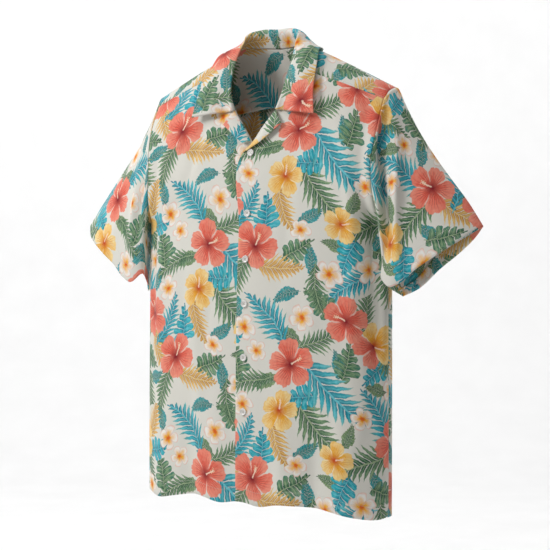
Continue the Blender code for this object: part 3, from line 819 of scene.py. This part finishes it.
def lapStepped(grid, way):
    # one front's edge stands out and the other's in, where they lap
    grid = grid.copy()
    near = ease((cloth["lap"] + cloth["lapBlend"] - np.abs(grid[:, :, 0])) / cloth["lapBlend"])
    below = ease((cloth["breakZ"] + cloth["breakBlend"] - grid[:, :, 2]) / cloth["breakBlend"])
    grid[:, :, 1] += way * cloth["lapStep"] * near * below
    return grid


def frontGrid(side):
    grid = lapStepped(frontHalf(), -side)
    grid[:, :, 0] *= side
    grid = fluted(grid, fronts["flutes"], fronts["dips"], side)
    flat = flatCut(grid)
    return creased(grid, flat, fronts["creases"][side], side), flat


def backGrid():
    rows = []
    for height in np.linspace(cloth["hemZ"], cloth["underarmZ"], backPanel["bodyRows"], endpoint=False):
        halfWidth, _, back, side = bodySize(height)
        row = arc((0, back, height), (halfWidth, side, height), math.pi / 2)
        rows.append(resampled(row, backPanel["columns"]))
    count = backPanel["armRows"]
    armhole = along(armholeBack, count)[::-1]
    middle = along([(0, y, z) for y, z in backMiddle], count)
    sweeps = np.linspace(math.pi / 2, backTopSweep, count)
    falls = np.linspace(levelFall, backTopFall, count)
    for row in zip(middle, armhole, sweeps, falls):
        rows.append(resampled(arc(*row), backPanel["columns"]))
    grid = fluted(bothHalves(np.array(rows)), backPanel["flutes"], backPanel["dips"], -1)
    flat = flatCut(grid)
    return creased(grid, flat, backPanel["creases"], -1), flat


def towardsArmhole(points):
    # directions from points near an armhole to its middle, seen from the side
    return unit((np.array((0, *armholeCentre)) - points) * (0, 1, 1))


def edgeInward(points, armholeFrom):
    # side seams turn straight in, armhole edges turn towards the middle of the armhole
    way = towardsArmhole(points)
    way[:armholeFrom] = -np.sign(points[:armholeFrom, :1]) * (1, 0, 0)
    return way


def onFront(grid, x, z):
    # the point of a front at a place across and up, near its middle edge
    column = np.abs(grid[10, :, 0] - x).argmin()
    line = grid[: fronts["bodyRows"] + fronts["armRows"] // 2, column]
    return np.array([x, np.interp(z, line[:, 2], line[:, 1]), z])


def slopeAt(grid, z, reach=0.01):
    above, below = onFront(grid, 0, z + reach), onFront(grid, 0, z - reach)
    return math.atan2(above[1] - below[1], 2 * reach)


def buttonhole(grid, corners):
    # a close-sewn loop round an upright slit
    size = buttons["holeLength"] / 2, buttons["holeWidth"] / 2
    middle = (corners[0] + corners[1]) / 2
    turns = np.linspace(0, 2 * math.pi, 48)
    x = size[1] * np.cos(turns)
    z = middle[2] - buttons["holeDrop"] + size[0] * np.sign(np.sin(turns)) * np.abs(np.sin(turns)) ** 0.5
    loop = np.array([onFront(grid, a, b) for a, b in zip(x, z)])
    tilt = slopeAt(grid, middle[2])
    outs = np.tile([0, -math.cos(tilt), math.sin(tilt)], (len(loop), 1))
    return stitchRun(loop, outs, **buttons["holeStitch"])


def frontPanel(name, side, shift):
    grid, flat = frontGrid(side)
    grid = drawnIn(grid, ("last row", "last column"))
    runs = [stitchRun(*rowAt(grid, flat, side, stitching["hem"]))]
    if side > 0:
        runs += [buttonhole(grid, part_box(node)) for node in buttonNodes]
    sewn = stitches(name + "Stitches", runs)
    inward = edgeInward(grid[:, -1], fronts["bodyRows"])
    grid, flat = turned(grid, flat, "last column", inward)
    grid, flat = turned(grid, flat, "last row", -gridNormals(grid)[-1] * side)
    behind = np.tile([[0, 1.0, 0]], (len(grid), 1))
    grid, flat = turned(grid, flat, "first column", behind, cloth["facingTurn"])
    grid, flat = hemmed(grid, flat, cloth["hemRows"], side)
    return shell(name, grid, flat, shift, flip=side < 0), sewn


def back(shift):
    grid, flat = backGrid()
    grid = drawnIn(grid, ("last row", "first column", "last column"))
    sewn = stitches("backPanelStitches", [stitchRun(*rowAt(grid, flat, -1, stitching["hem"]))])
    grid, flat = turned(grid, flat, "last column", edgeInward(grid[:, -1], backPanel["bodyRows"]))
    grid, flat = turned(grid, flat, "first column", edgeInward(grid[:, 0], backPanel["bodyRows"]))
    grid, flat = turned(grid, flat, "last row", gridNormals(grid)[-1])
    grid, flat = hemmed(grid, flat, cloth["hemRows"], -1)
    return shell("backPanel", grid, flat, shift, flip=True), sewn


backPanel = {
    "bodyRows": 64, "armRows": 46, "columns": 68,
    "flutes": (
        (-0.155, 0.006, 0.024, -0.4),
        (-0.098, -0.006, 0.02, -0.33),
        (-0.03, 0.007, 0.026, -0.28),
        (0.04, -0.006, 0.021, -0.38),
        (0.092, 0.0065, 0.022, -0.3),
        (0.15, -0.005, 0.02, -0.44),
    ),
    "dips": ((0.235, 0.018, 0.08), (0.0, 0.006, 0.06)),
    "creases": (
        (-0.176, 0.4, -5, 0.12, 0.012, -0.004), (-0.156, 0.34, 3, 0.13, 0.011, 0.0028),
        (-0.105, 0.47, 14, 0.08, 0.013, -0.0026), (-0.072, 0.33, -4, 0.12, 0.014, 0.0026),
        (-0.028, 0.42, 6, 0.1, 0.012, -0.002), (0.012, 0.26, -3, 0.13, 0.015, 0.0024),
        (0.055, 0.38, -8, 0.1, 0.012, -0.0026), (0.092, 0.48, -16, 0.07, 0.011, 0.002),
        (0.126, 0.3, 5, 0.13, 0.014, -0.0028), (0.168, 0.41, 4, 0.11, 0.012, 0.0032),
        (0.186, 0.37, 2, 0.1, 0.01, -0.003), (-0.12, 0.18, 2, 0.1, 0.014, -0.002),
        (0.07, 0.15, 7, 0.09, 0.012, 0.002), (-0.04, 0.14, -5, 0.08, 0.012, 0.0018),
        (0.0, 0.54, 3, 0.04, 0.016, -0.002),
    ),
}

yokePiece = {
    "backRows": 26, "neckRows": 34, "columns": 60, "bladeBow": 0.01, "bowReach": 1.6,
    "backShare": 4 / 11,     # share of the rows that lie behind the nape
    "middleColumn": 30,
}


def yokeHalf():
    middle = along([(0, y, z) for y, z in yokeMiddle], yokePiece["backRows"] + 1)
    neck = along(backNeck, yokePiece["neckRows"] + 1)
    inner = np.concatenate([middle, neck[1:]])
    rowShare = np.concatenate([
        np.linspace(0, yokePiece["backShare"], yokePiece["backRows"] + 1),
        np.linspace(yokePiece["backShare"], 1, yokePiece["neckRows"] + 1)[1:],
    ])
    fine = along(armholeTop[::-1], 401)
    fineShare = np.linspace(0, 1, len(fine))
    outer = np.stack([np.interp(rowShare, fineShare, fine[:, k]) for k in range(3)], axis=1)
    keys = (0, 0.5, 1)
    sweeps = smoothBetween(keys, (backTopSweep, backTopSweep, frontTopSweep), rowShare)
    falls = smoothBetween(keys, (backTopFall, ridgeFall, frontTopFall), rowShare)
    rows = []
    for start, end, sweep, fall, share in zip(inner, outer, sweeps, falls, rowShare):
        row = arc(start, end, sweep, fall)
        across = (row[:, 0] - start[0]) / (end[0] - start[0])
        bow = yokePiece["bladeBow"] * np.sin(math.pi * across)
        row[:, 1] += bow * math.sin(math.pi * min(1, share * yokePiece["bowReach"]))
        rows.append(resampled(row, yokePiece["columns"]))
    return np.array(rows)


def yoke(shift):
    grid = drawnIn(yokeHalf(), ("first row", "last row", "last column"))
    key = yokePiece["middleColumn"]
    across = lengthsOver(grid, 1) + grid[:, :1, 0]
    up = np.tile(lengthsAlong(grid[:, key])[:, None], (1, grid.shape[1]))
    flat = np.stack([across, up], axis=2)
    inset = stitching["yokeEdge"]
    lines = [rowAt(grid, flat, -1, height) for height in (inset, up[-1, key] - inset)]
    runs = [stitchRun(line * (way, 1, 1), outs * (way, 1, 1)) for line, outs in lines for way in (1, -1)]
    sewn = stitches("yokeStitches", runs)
    grid, flat = turned(grid, flat, "last column", towardsArmhole(grid[:, -1]))
    grid, flat = turned(grid, flat, "last row", gridNormals(grid)[-1])
    grid, flat = turned(grid, flat, "first row", gridNormals(grid)[0])
    behind = yokePiece["backRows"] + len(cloth["turnSteps"])
    shared = np.s_[: behind + 1, 0]                    # the middle line, up to the nape
    grid[shared][:, 0] = 0
    rows, columns = grid.shape[:2]
    left = np.arange(rows * columns).reshape(rows, columns)
    right = left + rows * columns
    places = np.concatenate([cells(left)[:, :, ::-1], cells(right)]).reshape(-1, 4)
    right[shared] = left[shared]
    faces = np.concatenate([cells(left)[:, :, ::-1], cells(right)]).reshape(-1, 4)
    points = np.concatenate([grid, grid * (-1, 1, 1)]).reshape(-1, 3)
    flats = np.concatenate([flat, flat * (-1, 1)]).reshape(-1, 2)
    return meshShell("yokePiece", points, faces, flats[places], shift), sewn


sleeves = {
    "creases": {
        1: (
            (0.108, 0.138, -25, 0.1, 0.012, -0.026), (0.132, 0.118, -25, 0.1, 0.011, 0.01),
            (0.056, 0.07, -14, 0.045, 0.01, -0.002),
            (0.132, 0.165, 10, 0.045, 0.01, -0.0018), (0.178, 0.12, 18, 0.055, 0.012, 0.0016),
            (0.232, 0.15, -12, 0.05, 0.011, -0.0018), (0.282, 0.1, 9, 0.06, 0.012, 0.002),
            (0.33, 0.14, 22, 0.055, 0.01, -0.0024), (0.372, 0.09, 12, 0.05, 0.01, 0.002),
            (0.11, 0.045, -8, 0.035, 0.012, -0.0016), (0.215, 0.05, 6, 0.035, 0.013, 0.0016),
        ),
        -1: (
            (0.098, 0.14, -23, 0.07, 0.011, -0.0085), (0.12, 0.118, -26, 0.075, 0.011, 0.0045),
            (0.124, 0.15, -6, 0.05, 0.011, -0.0022), (0.168, 0.13, 14, 0.055, 0.011, 0.0018),
            (0.22, 0.16, 20, 0.045, 0.01, -0.002), (0.268, 0.11, -8, 0.06, 0.012, 0.0018),
            (0.318, 0.13, 16, 0.055, 0.011, -0.0024), (0.364, 0.1, 24, 0.05, 0.01, 0.0022),
            (0.145, 0.05, 10, 0.035, 0.012, 0.0016),
        ),
    },
    "rows": 60, "capRise": 0.006, "flare": 0.004, "step": 0.0013, "hemRows": 7,
    "swell": 6.75,           # makes t (1 - t)(1 - t) reach 1 at its highest
    "girthRow": 20,
    "cuffTop": 8,            # the highest point of the cuff
    "cuff": (
        (0.231, -0.034, -0.388), (0.217, -0.06, -0.372), (0.214, -0.08, -0.358),
        (0.233, -0.086, -0.372), (0.25, -0.082, -0.365), (0.27, -0.077, -0.346),
        (0.3, -0.069, -0.325), (0.331, -0.054, -0.303), (0.357, -0.022, -0.282),
        (0.335, -0.002, -0.3), (0.304, 0.011, -0.323), (0.272, 0.013, -0.347),
        (0.245, 0.001, -0.375), (0.231, -0.034, -0.388),
    ),
}


def sleeveGrid(side):
    # straight lines from the armhole to the cuff, swollen over the cap and under the arm
    lines = (armholeFront, 44), (armholeTop, 46), (armholeBack, 44)
    hole = np.concatenate([along(line, count)[:-1] for line, count in lines]) + (sleeves["step"], 0, 0)
    top, cuffTop = hole[:, 2].argmax(), sleeves["cuffTop"]
    cuff = np.concatenate([
        along(sleeves["cuff"][: cuffTop + 1], top + 1)[:-1],
        along(sleeves["cuff"][cuffTop:], len(hole) - top + 1)[:-1],
    ])
    down = cuff[top] - hole[top]
    swell = np.cross(unit(down), (0, -1, 0))
    height = (hole[:, 2] - cloth["underarmZ"]) / (hole[top, 2] - cloth["underarmZ"])
    rings = []
    for t in np.linspace(0, 1, sleeves["rows"]):
        bump = sleeves["swell"] * t * (1 - t) ** 2
        cap = np.outer(ease(height), swell) * sleeves["capRise"] * bump
        under = np.outer(ease(1 - height), (1, 0, 0)) * sleeves["flare"] * bump
        rings.append(hole + (cuff - hole) * t + cap + under)
    grid = np.array(rings)[::-1].copy()                # hem first, as on the body
    grid[:, :, 0] *= side
    around = lengthsAlong(grid[sleeves["girthRow"]])
    flat = np.stack([np.tile(around, (len(grid), 1)), lengthsOver(grid, 0)], axis=2)
    return creased(grid, flat, sleeves["creases"][side], side, ring=True), flat


def sleeve(name, side, shift):
    grid, flat = sleeveGrid(side)
    run = stitchRun(*rowAt(grid, flat, side, stitching["sleeveHem"], ring=True))
    sewn = stitches(name + "Stitches", [run])
    grid, flat = turned(grid, flat, "last row", towardsArmhole(grid[-1]))
    grid, flat = hemmed(grid, flat, sleeves["hemRows"], side, ring=True)
    return shell(name, grid, flat, shift, flip=side < 0, ring=True), sewn


# From the nape to the notch: on the neck seam, along the fold, along the outer edge
collarTable = (
    ((0.0, 0.0, 0.0), (0.0, -0.012, 0.03), (0.0, 0.019, -0.016)),
    ((0.034, -0.004, 0.002), (0.028, -0.015, 0.03), (0.048, 0.015, -0.015)),
    ((0.058, -0.015, 0.002), (0.041, -0.024, 0.025), (0.077, -0.002, -0.005)),
    ((0.068, -0.032, -0.008), (0.048, -0.042, 0.001), (0.088, -0.034, -0.005)),
    ((0.064, -0.059, -0.04), (0.05, -0.061, -0.034), (0.097, -0.064, -0.04)),
    ((0.052, -0.072, -0.07), (0.046, -0.0785, -0.069), (0.103, -0.085, -0.075)),
    ((0.037, -0.081, -0.101), (0.038, -0.089, -0.101), (0.109, -0.095, -0.11)),
)
collarPiece = {
    "stations": 64, "points": 40, "foldRadius": 0.0026, "lift": 0.0012, "fallBow": 0.004,
    "standBow": 0.04,        # share of the stand's own height
    "foldShare": 0.45,       # most that the fold's radius can take of that height
    "foldDrop": 0.8,
    "wall": 0.0013,
}


def collarHalf():
    table = np.array(collarTable)
    seam, fold, edge = (along(table[:, k], collarPiece["stations"]) for k in range(3))
    rows = []
    for n, f, e in zip(seam, fold, edge):
        out, up, height = unit(e - f), unit(f - n), np.linalg.norm(f - n)
        turn = min(collarPiece["foldRadius"], height * collarPiece["foldShare"])
        outside = unit(np.cross(np.cross(up, out), up))
        start = n + up * collarPiece["lift"]
        innerTurn = f - up * turn
        outerTurn = f - up * turn * collarPiece["foldDrop"] + outside * turn * 2
        stand = (start + innerTurn) / 2 - outside * collarPiece["standBow"] * height
        fall = (outerTurn + e) / 2 + unit(np.cross(out, np.cross(up, out))) * collarPiece["fallBow"]
        line = np.array([start, stand, innerTurn, f + outside * turn, outerTurn, fall, e])
        rows.append(along(line, collarPiece["points"]))
    return np.array(rows)


def edgeRun(grid, outward, inset):
    # stitches set in from the last column, and turned back from it near both ends
    normals = gridNormals(grid) * outward
    last = grid.shape[1] - 1
    widths = lengthsOver(grid[:, ::-1], 1)
    back = np.array([np.interp(inset, width, np.arange(last + 1)) for width in widths])
    start = np.searchsorted(lengthsAlong(grid[:, last]), inset)
    end = len(grid) - 1 - start
    far, count = stitching["returnTo"], stitching["returnSteps"]
    coming = np.linspace(last - back[start] * far, last - back[start], count + 1)
    going = np.linspace(last - back[end], last - back[end] * far, count)
    places = [(start, place) for place in coming[:-1]]
    places += [(row, last - back[row]) for row in range(start, end + 1)]
    places += [(end, place) for place in going[1:]]
    line, outs = [], []
    for row, place in places:
        low = int(place)
        share = place - low
        line.append(grid[row, low] * (1 - share) + grid[row, min(low + 1, last)] * share)
        outs.append(normals[row, low])
    return stitchRun(np.array(line), np.array(outs))


def collar(shift):
    half = collarHalf()
    grid = np.swapaxes(bothHalves(np.swapaxes(half, 0, 1)), 0, 1)
    middle = lengthsAlong(grid[:, grid.shape[1] // 2])
    across = np.tile((middle - middle[-1] / 2)[:, None], (1, grid.shape[1]))
    flat = np.stack([across, lengthsOver(grid, 1)], axis=2)
    sewn = stitches("campCollarStitches", [edgeRun(grid, -1, stitching["collarEdge"])])
    return shell("campCollar", grid, flat, shift, wall=collarPiece["wall"]), sewn


lapels = {
    "rows": 26, "columns": 14, "forward": 0.0022, "bow": 0.002, "wall": 0.0012,
    "hiddenFoot": 0.3,      # share of the right lapel that lies under the left front
    "edge": ((-0.006, -0.099, -0.164), (0.015, -0.098, -0.152), (0.052, -0.093, -0.123)),
}


def lapel(name, side, shift):
    roll = along(frontNeck[: notch + 1], lapels["rows"] * 4)
    edge = along(lapels["edge"], lapels["rows"] * 4)
    foot = 0 if side > 0 else round(lapels["hiddenFoot"] * len(roll))
    picked = np.linspace(foot, len(roll) - 1, lapels["rows"]).round().astype(int)
    across = np.linspace(0, 1, lapels["columns"])
    rows = []
    for start, end in zip(roll[picked], edge[picked]):
        start = start - (0, lapels["forward"], 0)
        row = start + np.outer(across, end - start)
        row[:, 1] -= lapels["bow"] * np.sin(math.pi * across)
        rows.append(row)
    grid = np.array(rows)
    flat = np.stack([-grid[:, :, 0], grid[:, :, 2]], axis=2)
    grid[:, :, 0] *= side
    sewn = stitches(name + "Stitches", [edgeRun(grid, side, stitching["lapelEdge"])])
    return shell(name, grid, flat, shift, flip=side < 0, wall=lapels["wall"]), sewn


# A button's section: share of the rim in from the edge, share of the thickness up
buttonSection = (
    (1.75, 0.64), (1.45, 0.74), (1.15, 0.95), (0.8, 1.0), (0.4, 0.93), (0.1, 0.74),
    (0.0, 0.55), (0.15, 0.34), (0.7, 0.08), (1.3, 0.0),
)


def buttonMesh():
    # a four-hole button, face up, its back at 0
    radius, thick, rim = buttons["radius"], buttons["thickness"], buttons["rim"]
    section = [(0.0, thick * 0.58), (radius * 0.42, thick * 0.59)]
    section += [(radius - rim * inset, thick * up) for inset, up in buttonSection] + [(0.0, 0.0)]
    mesh = bpy.data.meshes.new("button section")
    mesh.from_pydata([(x, 0, z) for x, z in section], [(i, i + 1) for i in range(len(section) - 1)], [])
    blank = placed("button blank", mesh)
    turn = blank.modifiers.new("turned", "SCREW")
    turn.steps = turn.render_steps = 64
    turn.use_merge_vertices, turn.merge_threshold = True, 0.00001
    drills = []
    for quarter in range(4):
        angle = math.radians(45 + 90 * quarter)
        form = bmesh.new()
        bmesh.ops.create_cone(form, cap_ends=True, segments=20, radius1=buttons["threadHole"],
                              radius2=buttons["threadHole"], depth=0.01)
        drills.append(placed("drill", bpy.data.meshes.new("drill")))
        form.to_mesh(drills[-1].data)
        form.free()
        drills[-1].location = (buttons["spread"] * math.cos(angle), buttons["spread"] * math.sin(angle), 0)
        blank.modifiers.new("thread hole", "BOOLEAN").object = drills[-1]
    bpy.context.view_layer.update()
    drilled = bpy.data.meshes.new_from_object(blank.evaluated_get(bpy.context.evaluated_depsgraph_get()))
    for done in (blank, *drills):
        bpy.data.objects.remove(done)
    drilled.shade_smooth()
    drilled.materials.clear()
    drilled.materials.append(pearlShell)
    return drilled


def sewnOn(place, tilt):
    # two bars of thread across the four holes, three strands each
    turn = Matrix.Rotation(math.pi / 2 - tilt, 3, "X")
    spread, lift = buttons["spread"] * math.sqrt(0.5), buttons["thickness"] * 0.6
    out = np.array(turn @ Vector((0, 0, 1)))
    steps = np.linspace(-spread * 1.25, spread * 1.25, 9)
    runs = []
    for side in (-1, 1):
        for strand in (-1, 0, 1):
            x = side * spread + strand * buttons["strandGap"]
            line = np.array([turn @ Vector((x, y, lift)) for y in steps])
            line = line + np.array(place) - out * cloth["wall"] / 2
            runs.append(stitchRun(line, np.tile(out, (len(line), 1)), pitch=spread * 2.4,
                                  length=spread * 2.3, width=buttons["strandWidth"]))
    return runs


# Each panel: the piece and its stitches, then the flat width, length and area of the cloth that shows
panels = {
    "front_left": (frontPanel("frontLeft", 1, (0.02, 0.03)), 0.28, 0.74, 0.175),
    "front_right": (frontPanel("frontRight", -1, (0.17, 0.21)), 0.28, 0.74, 0.175),
    "back": (back((0.05, 0.1)), 0.53, 0.64, 0.32),
    "yoke": (yoke((0.11, 0.3)), 0.46, 0.155, 0.062),
    "sleeve_left": (sleeve("sleeveLeft", 1, (0.09, 0.05)), 0.43, 0.24, 0.082),
    "sleeve_right": (sleeve("sleeveRight", -1, (0.23, 0.16)), 0.43, 0.24, 0.082),
    "collar": (collar((0.14, 0.02)), 0.4, 0.085, 0.031),
    "lapel_left": (lapel("lapelLeft", 1, (0.26, 0.11)), 0.03, 0.075, 0.0014),
    "lapel_right": (lapel("lapelRight", -1, (0.05, 0.28)), 0.03, 0.055, 0.0012),
}
for node, ((piece, sewn), width, length, area) in panels.items():
    for part in (piece, sewn):
        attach(part, "root")
    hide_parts(node)
print("cloth pieces made")

leftFront, _ = frontGrid(1)
blank = buttonMesh()
threadRuns = []
for node in buttonNodes:
    low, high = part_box(node)
    z = (low[2] + high[2]) / 2
    tilt = slopeAt(leftFront, z)
    place = onFront(leftFront, 0, z) - (0, buttons["stand"], 0)
    button = placed(node.replace("_", ""), blank.copy())
    button.location = place
    button.rotation_euler = (math.pi / 2 - tilt, 0, 0)
    threadRuns += sewnOn(place, tilt)
    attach(button, "root")
    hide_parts(node)
threads = stitches("buttonThreads", threadRuns)
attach(threads, "root")
print("buttons sewn on")


camera = {
    "turn": 29.0, "distance": 2.77, "height": -0.28, "lens": 113.0, "sensor": 36,
    "down": 1.66, "aside": 0.2,
}
view = bpy.data.cameras.new("view")
view.lens, view.sensor_width = camera["lens"], camera["sensor"]
viewer = placed("view", view)
bpy.context.scene.camera = viewer
around = math.radians(camera["turn"])
viewer.location = Matrix.Rotation(around, 3, "Z") @ Vector((0, -camera["distance"], camera["height"]))
viewer.rotation_euler = (math.radians(90 - camera["down"]), 0, around + math.radians(camera["aside"]))


def areaLight(name, place, target, size, power):
    lamp = bpy.data.lights.new(name, "AREA")
    lamp.shape, lamp.size, lamp.energy = "DISK", size, power
    aim = unit(np.array(target) - np.array(place))
    stand = placed(name, lamp)
    stand.location = place
    stand.rotation_euler = (math.acos(-aim[2]), 0, math.atan2(aim[1], aim[0]) - math.pi / 2)


areaLight("key", place=(-1.6, -2.3, 1.25), target=(0, 0, -0.25), size=1.2, power=47.0)
areaLight("top", place=(0.3, -1.3, 2.1), target=(0, 0, -0.1), size=1.4, power=15.0)
areaLight("fill", place=(2.6, -1.6, 0.2), target=(0, 0, -0.4), size=1.8, power=0.5)
turn = Matrix.Rotation(around, 3, "Z")
for name, aside in (("backdrop left", -1.6), ("backdrop right", 1.6)):
    place, target = turn @ Vector((aside, 0.8, 1.5)), turn @ Vector((aside * 0.6, 3.2, -0.5))
    areaLight(name, place, target, size=1.6, power=40.0)
sky = bpy.data.worlds.new("sky")
bpy.context.scene.world = sky
sky.use_nodes = True
sky.node_tree.nodes["Background"].inputs["Color"].default_value = (1.0, 1.0, 1.0, 1)
sky.node_tree.nodes["Background"].inputs["Strength"].default_value = 0.2
bpy.context.scene.view_settings.view_transform = "Standard"

# A floor that curves up into a backdrop, seen from the side: from the front, to the back, and up
backdrop = {"halfWidth": 6.0, "front": -6.0, "level": -1.05, "back": 2.2, "curve": 1.2, "top": 5.0}
far, level, curve = backdrop["back"], backdrop["level"], backdrop["curve"]
profile = [(backdrop["front"], level), (far, level)]
for angle in np.linspace(0.1, math.pi / 2, 12):
    profile.append((far + curve * math.sin(angle), level + curve * (1 - math.cos(angle))))
profile.append((far + curve, backdrop["top"]))
points = [(x, y, z) for y, z in profile for x in (-backdrop["halfWidth"], backdrop["halfWidth"])]
sweep = bpy.data.meshes.new("backdrop")
sweep.from_pydata(points, [], [(2 * i, 2 * i + 1, 2 * i + 3, 2 * i + 2) for i in range(len(profile) - 1)])
sweep.shade_smooth()
sweep.materials.append(plainLook("pale floor", (0.92, 0.92, 0.92), 0.9))
floor = placed("floor", sweep)
floor.rotation_euler = (0, 0, around)
